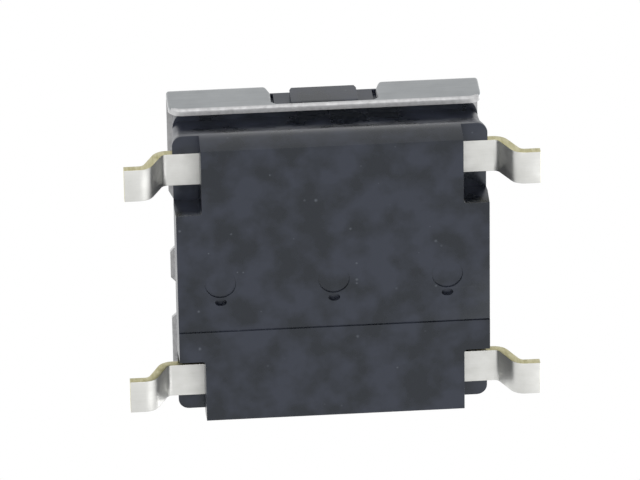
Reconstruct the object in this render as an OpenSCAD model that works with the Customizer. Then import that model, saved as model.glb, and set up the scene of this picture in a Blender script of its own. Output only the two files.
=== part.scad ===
// Surface-mount tactile push button switch with a stamped cover and four gull-wing leads

/* [Body] */
// Width of the body across the sides that the leads leave
body_w = 6.0; // [5.6:0.1:7]
// Length of the body between the outer faces of the cover's flanges
body_l = 6.0; // [5.8:0.1:7]
// Height of the cover's top above the circuit board
body_h = 2.7; // [2.6:0.05:3.4]
// Height of the base's underside above the circuit board
standoff = 0.05; // [0.02:0.01:0.2]

/* [Base] */
// Distance from the flanges' outer faces in to the base's widest line
ledge_inset = 0.03; // [0.01:0.01:0.06]
// Distance from the flanges' lower edges down to where the end walls start to flare
upright_below = 0.24; // [0.1:0.02:0.3]
// Gap between a flange's inner face and the end wall under its window
wall_gap = 0.17; // [0.1:0.01:0.2]
// How far each end face draws in from the widest line to the underside
end_draft = 0.113; // [0.02:0.01:0.2]
// How far each side face draws in from the widest line to the underside
side_draft = 0.015; // [0:0.005:0.1]
// How far each side face draws in from the widest line to the top
top_draft = 0.11; // [0.05:0.01:0.2]
// Radius of the four upright corners
corner_r = 0.2; // [0.1:0.05:0.45]
// Depth of the corner notches in from the sides
notch_depth = 0.51; // [0.4:0.01:0.6]
// Gap beside each lead on the inner side of its notch
notch_gap = 0.395; // [0.2:0.01:0.6]
// Radius in the inner corner of each notch
notch_r = 0.06; // [0.02:0.01:0.12]
// How far the plastic beyond each back lead lies over the lead's lower face
back_ledge = 0.12; // [0:0.01:0.12]
// Distance of the step across the underside from the middle
step_y = 0.96; // [0.6:0.05:1.3]
// Height of the step across the underside
step_h = 0.03; // [0.01:0.01:0.06]
// Radius of the three round ejector marks
mark_r = 0.33; // [0.2:0.01:0.4]
// Depth of the ejector marks
mark_depth = 0.03; // [0.01:0.01:0.06]
// Distance between neighbouring ejector marks
mark_pitch = 2.17; // [1.6:0.05:2.4]
// Distance of the ejector marks from the middle, towards the front
mark_y = 0.06; // [0:0.02:0.3]
// Radius of the nick beside each ejector mark
nick_r = 0.08; // [0.05:0.01:0.1]
// Depth of the nicks
nick_depth = 0.09; // [0.05:0.01:0.12]

/* [Hooks] */
// Width of the hook on each end
hook_w = 1.28; // [0.8:0.04:1.4]
// Distance from the flange's outer face in to the hook's face
hook_inset = 0.01; // [0:0.01:0.03]
// Size of the bevel on the hook's upper edge
hook_bevel = 0.09; // [0.04:0.01:0.1]
// Width of the slant at each upper corner of the hook
slant_w = 0.07; // [0.02:0.01:0.12]
// Height of the slant at each upper corner of the hook
slant_h = 0.19; // [0.1:0.01:0.24]
// Play between the hook and the strip that it catches
hook_gap = 0.01; // [0.01:0.01:0.03]
// Width of the pocket behind each side edge of a window
pocket_w = 0.09; // [0.05:0.01:0.12]
// Depth of these pockets
pocket_d = 0.08; // [0.04:0.01:0.1]

/* [Cover] */
// Thickness of the stamped sheet
sheet_t = 0.13; // [0.1:0.01:0.15]
// Clearance between a flange's inner face and the rim of the base behind it
cover_gap = 0.02; // [0.01:0.01:0.04]
// Height of the folded flanges, from the cover's top
flange_h = 1.02; // [0.9:0.02:1.2]
// Outer radius of the fold between the top and a flange
fold_r = 0.2; // [0.16:0.02:0.3]
// Radius of the flanges' lower corners
flange_r = 0.25; // [0.1:0.05:0.4]
// Width of the window in each flange
window_w = 2.04; // [1.6:0.02:2.4]
// Height of the strip left under the window
window_strip = 0.12; // [0.08:0.01:0.2]
// Distance that the window reaches into the top
window_reach = 0.32; // [0.22:0.02:0.4]
// Bevel in the window's lower corners
window_bevel = 0.1; // [0.04:0.02:0.14]
// How far the window widens at each side towards the fold
window_flare = 0.09; // [0.04:0.01:0.12]
// Distance below the cover's top at which the window starts to widen
flare_drop = 0.38; // [0.3:0.02:0.44]
// Depth of the notches in the cover's side edges
edge_notch = 0.2; // [0.1:0.02:0.3]

/* [Leads] */
// Distance between the front and the back pair of leads
lead_pitch = 4.5; // [4.3:0.1:4.7]
// Width of a lead
lead_w = 0.66; // [0.5:0.02:0.8]
// Thickness of the strip
lead_t = 0.18; // [0.12:0.01:0.22]
// Height of the strip's lower face above the circuit board
lead_h = 0.62; // [0.55:0.01:0.75]
// Distance from the body's side to the lead's tip
lead_reach = 0.95; // [0.85:0.05:1.4]
// Distance from the body's side to the start of the bend
bend_start = 0.11; // [0.05:0.01:0.2]
// Inner radius of the lead's bends
bend_r = 0.12; // [0.06:0.01:0.12]
// Slope of the lead between its two bends
bend_angle = 65; // [60:1:85]
// Width of the tongue under the middle of the disc
tongue_w = 0.9; // [0.6:0.05:1.2]
// Width of the two arms under the rim of the disc
arm_w = 0.5; // [0.3:0.05:0.6]
// Distance that the tongue and the arms run past the middle
arm_end = 0.45; // [0.42:0.01:0.6]
// Bevel on the corners of the tongue and the arms
end_bevel = 0.12; // [0.04:0.02:0.14]
// Distance from the disc's rim in to the middle of an arm
rim_in = 0.1; // [0.05:0.01:0.15]
// Gap between the disc's seat and the strips outside it
band_gap = 0.08; // [0.04:0.01:0.12]
// Distance inside the notches at which the strips narrow
neck_in = 0.2; // [0.1:0.02:0.4]
// Length of the raised pad on each arm
pad_l = 0.7; // [0.4:0.05:0.8]
// Diameter of the contact dimple
dimple_d = 0.6; // [0.4:0.05:0.8]
// Height of the contact dimple
dimple_h = 0.12; // [0.08:0.01:0.13]

/* [Plunger] */
// Height of the plunger's top above the cover
plunger_rise = 0.4; // [0.3:0.05:2.5]
// Diameter of the plunger where it shows
stem_d = 3.5; // [2.6:0.1:3.6]
// Radius of the plunger's top edge
stem_r = 0.12; // [0.05:0.01:0.2]
// Clearance round the plunger in the cover's hole
stem_gap = 0.08; // [0.04:0.01:0.12]
// Diameter of the collar that holds the plunger in
collar_d = 4.2; // [4:0.05:4.4]
// Thickness of the collar
collar_t = 0.4; // [0.3:0.05:0.5]
// Clearance round the collar in the base
collar_gap = 0.1; // [0.05:0.01:0.15]
// Diameter of the nub that presses the disc
nub_d = 1.4; // [1:0.1:1.8]

/* [Contact disc] */
// Diameter of the snap disc
disc_d = 4.0; // [3.6:0.1:4.1]
// Clearance round the disc in its seat
disc_gap = 0.05; // [0.03:0.01:0.1]
// Thickness of the disc
disc_t = 0.06; // [0.04:0.01:0.08]
// Height of the disc's crown over its rim
disc_rise = 0.33; // [0.32:0.01:0.4]
// Depth of the disc's seat
seat_depth = 0.45; // [0.4:0.05:0.6]
// Thickness of the plastic over the strips in the disc's seat
skin_t = 0.05; // [0.03:0.01:0.07]
// Diameter of the opening in the seat's floor over the dimple
dimple_well = 1.1; // [0.9:0.05:1.3]
// Gap between the disc and the nub at rest
nub_gap = 0.02; // [0.01:0.01:0.04]

/* [Hidden] */
$fn = 64;
// Overshoot of cutting shapes
over = 1;
// Steps in an arc of an outline
arc_steps = 8;
// Heights and lengths that several pieces share
part_z = lead_h + lead_t;
seat_z = part_z + skin_t;
total_h = body_h + plunger_rise;
base_top = body_h - sheet_t;
base_l = body_l - 2 * ledge_inset;
flange_z = body_h - flange_h;
// The end walls are upright from a little under the flanges, and step out to a rim behind the windows
upright_z = flange_z - upright_below;
wall_y = body_l / 2 - sheet_t - wall_gap;
rim_y = body_l / 2 - sheet_t - cover_gap;
// Notches round the leads
notch_x = body_w / 2 - notch_depth;
notch_y = (lead_pitch - lead_w) / 2 - notch_gap;
// The window's lower edge, and the hook and the rim that start over it
window_z = flange_z + window_strip;
hook_z = window_z + hook_gap;
hook_y = body_l / 2 - hook_inset;
// Bores of the base, one over the other
collar_bore = collar_d + 2 * collar_gap;
seat_bore = disc_d + 2 * disc_gap;
// Underside of the nub at rest
nub_z = seat_z + disc_rise + disc_t + nub_gap;
// Centre-line radius, drop and run of the double bend in a lead
bend_mid = bend_r + lead_t / 2;
bend_slope = (lead_h - 2 * bend_mid * (1 - cos(bend_angle))) / sin(bend_angle);
bend_run = 2 * bend_mid * sin(bend_angle) + bend_slope * cos(bend_angle);
bend_x = body_w / 2 + bend_start;
foot_x = bend_x + bend_run;
// Inside the base the strips narrow, to stay clear of the disc's seat
band_in = seat_bore / 2 + band_gap;
neck_x = notch_x - neck_in;
// The arms lie under the disc's rim, and the tongue and the arms end past the middle
arm_x = disc_d / 2 - rim_in;
// Places of the side notches along the cover's edge, each as its outer and inner ends
edge_notches = [[-0.87, -0.64, 0.32, 0.45], [1.0, 1.13, 1.79, 1.89]];
edge_slant = 0.12;

// Points of an arc round c, of radius r, from angle a to angle b
function arc(c, r, a, b) =
  [for (i = [0 : arc_steps]) c + r * [cos(a + (b - a) * i / arc_steps), sin(a + (b - a) * i / arc_steps)]];

// Children at the front end and, turned half a turn, at the back end
module both_ends() {
  for (turn = [0, 180]) rotate([0, 0, turn]) children();
}

// Extrude an outline drawn in X and Z along Y, centred
module along_y(length) {
  rotate([90, 0, 0]) linear_extrude(length, center = true) children();
}

// Extrude an outline drawn in Y and Z along X, centred
module along_x(length) {
  rotate([90, 0, 90]) linear_extrude(length, center = true) children();
}

// Rectangle with four round corners, centred
module round_rectangle(w, l, r) {
  square([w - 2 * r, l], center = true);
  square([w, l - 2 * r], center = true);
  for (x = [-1, 1], y = [-1, 1]) translate([x * (w / 2 - r), y * (l / 2 - r)]) circle(r);
}

// Moulded block with a widest line at the strip's lower face
module base_block() {
  side = body_w / 2;
  end = base_l / 2;
  intersection() {
    translate([0, 0, standoff]) linear_extrude(base_top - standoff)
      round_rectangle(body_w, base_l, corner_r);
    along_y(body_l) polygon([
      [-side + side_draft, standoff], [side - side_draft, standoff], [side, lead_h],
      [side - top_draft, base_top], [-side + top_draft, base_top], [-side, lead_h]]);
    along_x(body_w) polygon([
      [-end + end_draft, standoff], [end - end_draft, standoff], [end, lead_h], [wall_y, upright_z],
      [wall_y, hook_z], [rim_y, hook_z], [rim_y, base_top], [-rim_y, base_top], [-rim_y, hook_z],
      [-wall_y, hook_z], [-wall_y, upright_z], [-end, lead_h]]);
  }
}

// Hook at the front end, which catches the strip under the flange's window
module hook() {
  root = rim_y - sheet_t;
  half = hook_w / 2;
  intersection() {
    along_x(hook_w) polygon([
      [-root, hook_z], [-hook_y, hook_z], [-hook_y, base_top - hook_bevel],
      [-hook_y + hook_bevel, base_top], [-root, base_top]]);
    along_y(2 * body_l) polygon([
      [-half, hook_z], [half, hook_z], [half, base_top - slant_h], [half - slant_w, base_top],
      [-half + slant_w, base_top], [-half, base_top - slant_h]]);
  }
}

// Cuts for the two pockets in the front rim, behind the side edges of the window
module edge_pockets() {
  low = window_z + window_bevel;
  for (side = [-1, 1]) translate([side * (window_w / 2 - pocket_w / 4), -rim_y, low])
    translate([-pocket_w / 2, -pocket_d, 0]) cube([pocket_w, 2 * pocket_d, base_top - 2 * cover_gap - low]);
}

// Cut for one corner notch, at +X and +Y, which is deeper beside the lead than beyond it
module corner_notch(ledge_z) {
  lead_end = (lead_pitch + lead_w) / 2;
  translate([notch_x, notch_y, -over]) {
    linear_extrude(over + ledge_z) notch_plan(body_l);
    linear_extrude(over + part_z) notch_plan(lead_end - notch_y);
  }
}

// Outline of a corner notch from its inner corner, seen from above
module notch_plan(length) {
  translate([notch_r, 0]) square([body_w, length]);
  translate([0, notch_r]) square([body_w, length - notch_r]);
  translate([notch_r, notch_r]) circle(notch_r);
}

// Bar from root to tip along -Y with bevelled corners at the tip, seen from above
module finger(w, root, tip) {
  half = w / 2;
  polygon([
    [-half, root], [-half, tip + end_bevel], [-half + end_bevel, tip],
    [half - end_bevel, tip], [half, tip + end_bevel], [half, root]]);
}

// Outline of the back band between its two leads, seen from above
module band_plan() {
  outer = (lead_pitch + lead_w) / 2;
  inner = (lead_pitch - lead_w) / 2;
  narrow = max(band_in, inner);
  polygon([
    [-bend_x, outer], [-bend_x, inner], [-neck_x - narrow + inner, inner], [-neck_x, narrow],
    [neck_x, narrow], [neck_x + narrow - inner, inner], [bend_x, inner], [bend_x, outer]]);
}

// Outline of the front strip with its tongue, seen from above
module front_plan() {
  rotate(180) {
    band_plan();
    finger(tongue_w, band_in + end_bevel, -arm_end);
  }
}

// Outline of the back strip with its two arms, seen from above
module back_plan() {
  band_plan();
  for (side = [-1, 1]) translate([side * arm_x, 0]) finger(arm_w, band_in + end_bevel, -arm_end);
}

// Raised pads on the two arms, which the disc's rim rests on
module arm_pads() {
  for (side = [-1, 1]) translate([side * arm_x - arm_w / 2, -pad_l / 2, part_z]) cube([arm_w, pad_l, skin_t]);
}

// Bent end of a lead on the +X side, centred on Y
module gull_wing() {
  upper = [bend_x, part_z - bend_mid - lead_t / 2];
  lower = [foot_x, bend_mid + lead_t / 2];
  tip = body_w / 2 + lead_reach;
  fall = 90 - bend_angle;
  along_y(lead_w) polygon(concat(
    arc(upper, bend_r, 90, fall), arc(lower, bend_r + lead_t, 180 + fall, 270), [[tip, 0], [tip, lead_t]],
    arc(lower, bend_r, 270, 180 + fall), arc(upper, bend_r + lead_t, fall, 90)));
}

// Strip and its two gull wings, at y
module strip(y) {
  translate([0, 0, lead_h]) linear_extrude(lead_t) children();
  for (side = [0, 1]) mirror([side, 0, 0]) translate([0, y, 0]) gull_wing();
}

// Three ejector marks in the underside, each with a nick beside it
module ejector_marks() {
  floor = standoff + step_h;
  for (i = [-1 : 1]) translate([i * mark_pitch, -mark_y, 0]) {
    cylinder(r = mark_r, h = floor + mark_depth);
    translate([0, mark_r + nick_r, 0]) cylinder(r = nick_r, h = floor + nick_depth);
  }
}

// Moulded base with its corner notches, hooks, bores and pockets for the strips
module base() {
  color([0.15, 0.16, 0.18]) difference() {
    union() {
      base_block();
      both_ends() hook();
    }
    both_ends() edge_pockets();
    for (side = [0, 1]) mirror([side, 0, 0]) {
      corner_notch(lead_h + back_ledge);
      mirror([0, 1, 0]) corner_notch(lead_h);
    }
    translate([0, 0, lead_h]) linear_extrude(lead_t) {
      front_plan();
      back_plan();
    }
    arm_pads();
    translate([0, 0, part_z]) cylinder(d = dimple_well, h = body_h);
    translate([0, 0, seat_z]) cylinder(d = seat_bore, h = body_h);
    translate([0, 0, seat_z + seat_depth]) cylinder(d = collar_bore, h = body_h);
    translate([-body_w, step_y - 2 * body_l, standoff - over]) cube([2 * body_w, 2 * body_l, over + step_h]);
    ejector_marks();
  }
}

// Folded section of the cover, drawn in Y and Z
module cover_section() {
  difference() {
    fold_outline(body_l, body_h, fold_r);
    fold_outline(body_l - 2 * sheet_t, base_top, fold_r - sheet_t);
  }
}

// Area under a fold of length l, height h and corner radius r, from the flanges' lower edge
module fold_outline(l, h, r) {
  translate([-l / 2, flange_z - over]) square([l, h - r - flange_z + over]);
  translate([-l / 2 + r, flange_z - over]) square([l - 2 * r, h - flange_z + over]);
  for (side = [-1, 1]) translate([side * (l / 2 - r), h - r]) circle(r);
}

// Outline of the cover seen along Y, with the flanges' round lower corners
module cover_front() {
  w = body_w / 2;
  polygon(concat(
    [[w, body_h + over], [-w, body_h + over]],
    arc([-w + flange_r, flange_z + flange_r], flange_r, 180, 270),
    arc([w - flange_r, flange_z + flange_r], flange_r, 270, 360)));
}

// Cut for the window through the front flange and the fold above it
module window_cut() {
  low = window_w / 2;
  high = low + window_flare;
  flare_z = body_h - flare_drop;
  wide_z = body_h - fold_r / 2;
  translate([0, -body_l / 2, 0]) along_y(2 * window_reach) polygon([
    [-low + window_bevel, window_z], [low - window_bevel, window_z], [low, window_z + window_bevel],
    [low, flare_z], [high, wide_z], [high, body_h + over], [-high, body_h + over], [-high, wide_z],
    [-low, flare_z], [-low, window_z + window_bevel]]);
}

// Cuts for the notches in the cover's edge on the +X side
module edge_cuts() {
  w = body_w / 2;
  for (n = edge_notches) translate([0, 0, base_top - over]) linear_extrude(2 * over) polygon([
    [w + over, n[0]], [w, n[0]], [w - edge_slant, n[1]], [w - edge_notch, n[1]],
    [w - edge_notch, n[2]], [w - edge_slant, n[2]], [w, n[3]], [w + over, n[3]]]);
}

// Stamped cover with its hole, folded flanges, windows and notched edges
module cover() {
  color([0.72, 0.73, 0.74]) difference() {
    intersection() {
      along_x(body_w) cover_section();
      along_y(body_l) cover_front();
    }
    cylinder(d = stem_d + 2 * stem_gap, h = body_h + over);
    both_ends() window_cut();
    edge_cuts();
    mirror([1, 0, 0]) edge_cuts();
  }
}

// Front strip with two leads and the tongue under the middle of the disc
module terminal_front() {
  color([0.82, 0.82, 0.78]) {
    strip(-lead_pitch / 2) front_plan();
    translate([0, 0, part_z]) cylinder(h = dimple_h, d1 = dimple_d, d2 = dimple_d / 2);
  }
}

// Back strip with two leads and two arms under the rim of the disc
module terminal_back() {
  color([0.82, 0.82, 0.78]) {
    strip(lead_pitch / 2) back_plan();
    arm_pads();
  }
}

// Domed snap disc that rests on the strips
module contact_disc() {
  r = disc_d / 2;
  bow = (r * r + disc_rise * disc_rise) / (2 * disc_rise);
  rim = asin(r / bow);
  centre = [0, seat_z + disc_rise - bow];
  color([0.75, 0.74, 0.68]) rotate_extrude() polygon(concat(
    arc(centre, bow, 90 - rim, 90), arc(centre, bow + disc_t, 90, 90 - rim)));
}

// Plunger with its collar and nub
module plunger() {
  r = stem_d / 2;
  collar_z = base_top - collar_t;
  color([0.12, 0.12, 0.13]) rotate_extrude() polygon(concat(
    [[0, nub_z], [nub_d / 2, nub_z], [nub_d / 2, collar_z], [collar_d / 2, collar_z],
     [collar_d / 2, base_top], [r, base_top]],
    arc([r - stem_r, total_h - stem_r], stem_r, 0, 90), [[0, total_h]]));
}

base();
cover();
terminal_front();
terminal_back();
contact_disc();
plunger();
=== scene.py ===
"""Looks of a surface-mount tactile push button switch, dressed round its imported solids."""

import logging
import math
from collections.abc import Callable, Iterable
from dataclasses import dataclass, field
from enum import Enum

import bmesh
import bpy
from bmesh.types import BMEdge, BMFace, BMVert
from mathutils import Matrix, Vector


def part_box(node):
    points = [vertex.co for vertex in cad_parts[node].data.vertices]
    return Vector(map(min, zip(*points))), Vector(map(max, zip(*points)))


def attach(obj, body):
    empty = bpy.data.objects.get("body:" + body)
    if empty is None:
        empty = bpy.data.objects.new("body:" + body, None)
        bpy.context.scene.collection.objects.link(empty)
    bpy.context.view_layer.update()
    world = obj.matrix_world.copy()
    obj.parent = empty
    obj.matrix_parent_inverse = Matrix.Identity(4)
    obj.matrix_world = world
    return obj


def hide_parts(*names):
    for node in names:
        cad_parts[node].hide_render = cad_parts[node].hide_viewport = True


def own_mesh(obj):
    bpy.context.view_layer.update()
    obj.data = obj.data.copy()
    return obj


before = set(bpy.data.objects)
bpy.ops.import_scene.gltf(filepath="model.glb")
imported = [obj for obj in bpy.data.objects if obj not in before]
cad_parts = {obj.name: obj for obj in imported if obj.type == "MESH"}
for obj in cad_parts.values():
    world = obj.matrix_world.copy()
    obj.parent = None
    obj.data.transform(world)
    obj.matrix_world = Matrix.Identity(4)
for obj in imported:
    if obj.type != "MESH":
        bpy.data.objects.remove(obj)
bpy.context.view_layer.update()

LOG = logging.getLogger("switch")
# Pieces are shaped in millimetres, and finished in metres
MM = 0.001
# Distance in millimetres below which two places are the same
NEAR = 0.002
# Place of a sheared edge's material after that of the sheet; on the cover it also carries painted highlight
EDGE_INDEX = 1
# Share of its normal along an axis from which a face counts as facing that way, and as quite level
FACING, LEVEL = 0.9, 0.99
# Angle in degrees past which an edge stays sharp
SHARP = 32.0
# How many times finer the grain of a surface is than its clouds
FINER = 9.0
# Least of a speck's random size, which goes up by 1 from there
LEAST_SPECK = 0.3
Point = tuple[float, float]


def arc(centre: Point, radius: float, start: float, end: float, steps: int = 8) -> list[Point]:
    """Points along an arc from one angle to another in degrees, with both of its ends."""
    angles = [math.radians(start + (end - start) * i / steps) for i in range(steps + 1)]
    return [(centre[0] + radius * math.cos(a), centre[1] + radius * math.sin(a)) for a in angles]


def stretch(z: float, stations: list[Point]) -> float:
    """A size at height z, read between (height, size) stations that go upwards.

    Args:
        z: Height at which the size is wanted.
        stations: Pairs of height and size.

    Returns:
        The size at that height.
    """
    for (z0, a), (z1, b) in zip(stations, stations[1:]):
        if z <= z1:
            return a + (b - a) * (z - z0) / (z1 - z0)
    return stations[-1][1]


class Side(Enum):
    """Which end of the switch a strip belongs to, as the sign of its Y."""

    FRONT = -1
    BACK = 1


@dataclass(frozen=True)
class Datum:
    """Places that several pieces share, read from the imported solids, in millimetres."""

    half_w: float
    half_l: float
    top_z: float
    flange_z: float
    base_z: float
    base_top: float
    tip_x: float
    lead_y: float

    @classmethod
    def from_frame(cls) -> "Datum":
        """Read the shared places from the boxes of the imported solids.

        Returns:
            The places.
        """
        cover_low, cover_high = (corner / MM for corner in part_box("cover"))
        base_low, base_high = (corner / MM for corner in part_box("base"))
        strip_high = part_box("terminal_back")[1] / MM
        return cls(
            half_w=cover_high.x, half_l=cover_high.y, top_z=cover_high.z, flange_z=cover_low.z,
            base_z=base_low.z, base_top=base_high.z, tip_x=strip_high.x, lead_y=strip_high.y)

    @property
    def sheet_t(self) -> float:
        """Thickness of the cover's sheet."""
        return self.top_z - self.base_top


class Workpiece:
    """One piece of the switch while bmesh operators shape it."""

    def __init__(self, name: str) -> None:
        """Start an empty piece with the finished object's name."""
        self.name = name
        self.bm = bmesh.new()

    def face(self, points: Iterable[Point], z: float) -> BMFace:
        """Lay one flat face at height z through the points of an outline seen from above."""
        return self.bm.faces.new([self.bm.verts.new((x, y, z)) for x, y in points])

    def edges(self, chosen: Callable[[BMEdge], bool]) -> list[BMEdge]:
        """Edges that pass a test."""
        return [e for e in self.bm.edges if chosen(e)]

    def faces(self, chosen: Callable[[Vector, Vector], bool]) -> list[BMFace]:
        """Faces whose centre and normal pass a test."""
        self.bm.normal_update()
        return [f for f in self.bm.faces if chosen(f.calc_center_median(), f.normal)]

    @staticmethod
    def parts(faces: list[BMFace]) -> list[BMFace | BMEdge | BMVert]:
        """Faces with their edges and points, each once and always in the same order."""
        return list(dict.fromkeys(g for f in faces for g in (f, *f.edges, *f.verts)))

    def extrude(self, faces: list[BMFace], offset: Point | tuple[float, float, float]) -> list[BMFace]:
        """Extrude faces as one region.

        Args:
            faces: Faces that touch each other.
            offset: How far the new faces move.

        Returns:
            The moved faces.
        """
        made = bmesh.ops.extrude_face_region(self.bm, geom=self.parts(faces))["geom"]
        verts = [g for g in made if isinstance(g, BMVert)]
        bmesh.ops.translate(self.bm, vec=offset, verts=verts)
        return [g for g in made if isinstance(g, BMFace)]

    def raise_rim(self, edges: list[BMEdge], rise: float, along: float = 1.0) -> list[BMEdge]:
        """Extrude an open rim upwards and draw its ends in or out.

        Args:
            edges: The rim.
            rise: How far the new rim lies above the old one.
            along: Factor on the new rim's Y.

        Returns:
            The new rim.
        """
        made = bmesh.ops.extrude_edge_only(self.bm, edges=edges)["geom"]
        verts = {g for g in made if isinstance(g, BMVert)}
        bmesh.ops.translate(self.bm, vec=(0, 0, rise), verts=list(verts))
        bmesh.ops.scale(self.bm, vec=(1, along, 1), verts=list(verts))
        return [g for g in made if isinstance(g, BMEdge) and verts.issuperset(g.verts)]

    def cut(self, faces: list[BMFace], place: Vector, normal: Vector) -> None:
        """Split faces along the plane through a place that faces along a normal."""
        bmesh.ops.bisect_plane(
            self.bm, geom=self.parts(faces), dist=NEAR / 10, plane_co=place, plane_no=normal)

    def disc(self, face: BMFace, centre: Point, radius: float, segments: int = 48,
             wide: float = 1.0) -> BMFace:
        """Part a round face from a flat horizontal face.

        The round is turned a little, so that none of its points lines up with the face's own corners.

        Args:
            face: Face that holds the round.
            centre: Middle of the round.
            radius: Radius of the round.
            segments: Number of sides of the round.
            wide: Factor on its size along X.

        Returns:
            The round face.
        """
        z = face.verts[0].co.z
        outline, normal = list(face.edges), face.normal.copy()
        bmesh.ops.delete(self.bm, geom=[face], context="FACES_ONLY")
        place = (Matrix.Translation((*centre, z)) @ Matrix.Diagonal((wide, 1, 1, 1))
                 @ Matrix.Rotation(math.tau / (3 * segments), 4, "Z"))
        circle = bmesh.ops.create_circle(self.bm, segments=segments, radius=radius, matrix=place)["verts"]
        rim = list(dict.fromkeys(e for v in circle for e in v.link_edges))
        bmesh.ops.triangle_fill(self.bm, use_beauty=True, edges=outline + rim, normal=normal)
        return self.bm.faces.new(circle)

    def inset(self, face: BMFace, width: float) -> BMFace:
        """Draw a face in by a width, and give the face that is left in the middle."""
        bmesh.ops.inset_region(self.bm, faces=[face], thickness=width, use_even_offset=True)
        return face

    def bevel(self, edges: list[BMEdge], width: float, segments: int = 2) -> None:
        """Round edges from a width beside them, with a number of faces in the round."""
        bmesh.ops.bevel(
            self.bm, geom=edges, offset=width, offset_type="OFFSET", affect="EDGES", segments=segments,
            profile=0.5, material=-1, clamp_overlap=True, loop_slide=False)

    def spin(self, profile: list[Point], segments: int = 128) -> None:
        """Turn an open profile a full turn about Z.

        Args:
            profile: Pairs of radius and height.
            segments: Number of steps of the turn.
        """
        verts = [self.bm.verts.new((r, 0, z)) for r, z in profile]
        chain = [self.bm.edges.new(pair) for pair in zip(verts, verts[1:])]
        bmesh.ops.spin(
            self.bm, geom=verts + chain, cent=(0, 0, 0), axis=(0, 0, 1), angle=math.tau,
            steps=segments, use_merge=True)
        bmesh.ops.remove_doubles(self.bm, verts=self.bm.verts[:], dist=NEAR / 10)

    def finish(self, node: str, body: str, slot: str,
               materials: list[bpy.types.Material]) -> bpy.types.Object:
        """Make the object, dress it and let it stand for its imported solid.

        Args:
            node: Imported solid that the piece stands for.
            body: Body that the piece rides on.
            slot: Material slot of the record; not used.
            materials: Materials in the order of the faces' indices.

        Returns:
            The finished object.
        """
        bmesh.ops.recalc_face_normals(self.bm, faces=self.bm.faces[:])
        bmesh.ops.scale(self.bm, vec=(MM, MM, MM), verts=self.bm.verts[:])
        mesh = bpy.data.meshes.new(self.name)
        self.bm.to_mesh(mesh)
        self.bm.free()
        for material in materials:
            mesh.materials.append(material)
        mesh.shade_smooth()
        mesh.set_sharp_from_angle(angle=math.radians(SHARP))
        piece = bpy.data.objects.new(self.name, mesh)
        bpy.context.scene.collection.objects.link(piece)
        normals = piece.modifiers.new("flat_faces_stay_flat", "WEIGHTED_NORMAL")
        normals.keep_sharp = True
        normals.weight = 100
        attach(piece, body)
        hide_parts(node)
        LOG.info("%s stands for %s with %d faces", self.name, node, len(mesh.polygons))
        return piece


Value = float | tuple[float, ...] | bpy.types.NodeSocket


class NodeSheet:
    """A node tree that is being filled from left to right."""

    def __init__(self, tree: bpy.types.NodeTree) -> None:
        """Take an empty node tree."""
        self.tree = tree
        self.column = 0

    @classmethod
    def of(cls, owner: bpy.types.Material | bpy.types.World) -> "NodeSheet":
        """Empty the nodes of a material or world and take them.

        Args:
            owner: The material or world.

        Returns:
            Its node sheet.
        """
        owner.use_nodes = True
        owner.node_tree.nodes.clear()
        return cls(owner.node_tree)

    def add(self, kind: str, inputs: dict[str | int, Value] | None = None,
            **settings: object) -> bpy.types.Node:
        """Place a node, set it and link it.

        Args:
            kind: Blender's name of the node type.
            inputs: Value or source socket of each input, by the input's name or number.
            settings: Properties of the node.

        Returns:
            The new node.
        """
        node = self.tree.nodes.new(kind)
        node.location = (220 * self.column, 0)
        self.column += 1
        for name, value in settings.items():
            setattr(node, name, value)
        for name, value in (inputs or {}).items():
            if isinstance(value, bpy.types.NodeSocket):
                self.tree.links.new(value, node.inputs[name])
            else:
                node.inputs[name].default_value = value
        return node

    def group(self, group: bpy.types.NodeTree, inputs: dict[str, Value]) -> bpy.types.Node:
        """Place a node group with its inputs."""
        return self.add("ShaderNodeGroup", inputs, node_tree=group)

    def math(self, operation: str, a: Value, b: Value = 0.0) -> bpy.types.NodeSocket:
        """The result of one sum on two values."""
        return self.add("ShaderNodeMath", {0: a, 1: b}, operation=operation).outputs[0]

    def ramp(self, value: Value, low: Value, high: Value, to_low: float = 0.0,
             to_high: float = 1.0) -> bpy.types.NodeSocket:
        """A value moved from one range to another, and held at its ends."""
        return self.add("ShaderNodeMapRange", {
            "Value": value, "From Min": low, "From Max": high,
            "To Min": to_low, "To Max": to_high}).outputs[0]

    def spread(self, value: Value, contrast: Value) -> bpy.types.NodeSocket:
        """A noise value stretched about its middle, so that it runs from 0 to 1 within a contrast."""
        return self.ramp(value, self.math("SUBTRACT", 0.5, contrast), self.math("ADD", 0.5, contrast))

    def blend(self, share: Value, first: Value, second: Value) -> bpy.types.NodeSocket:
        """A colour between two others."""
        first, second = ((*value, 1.0) if isinstance(value, tuple) else value for value in (first, second))
        return self.add("ShaderNodeMix", {0: share, 6: first, 7: second}, data_type="RGBA").outputs[2]


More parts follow.
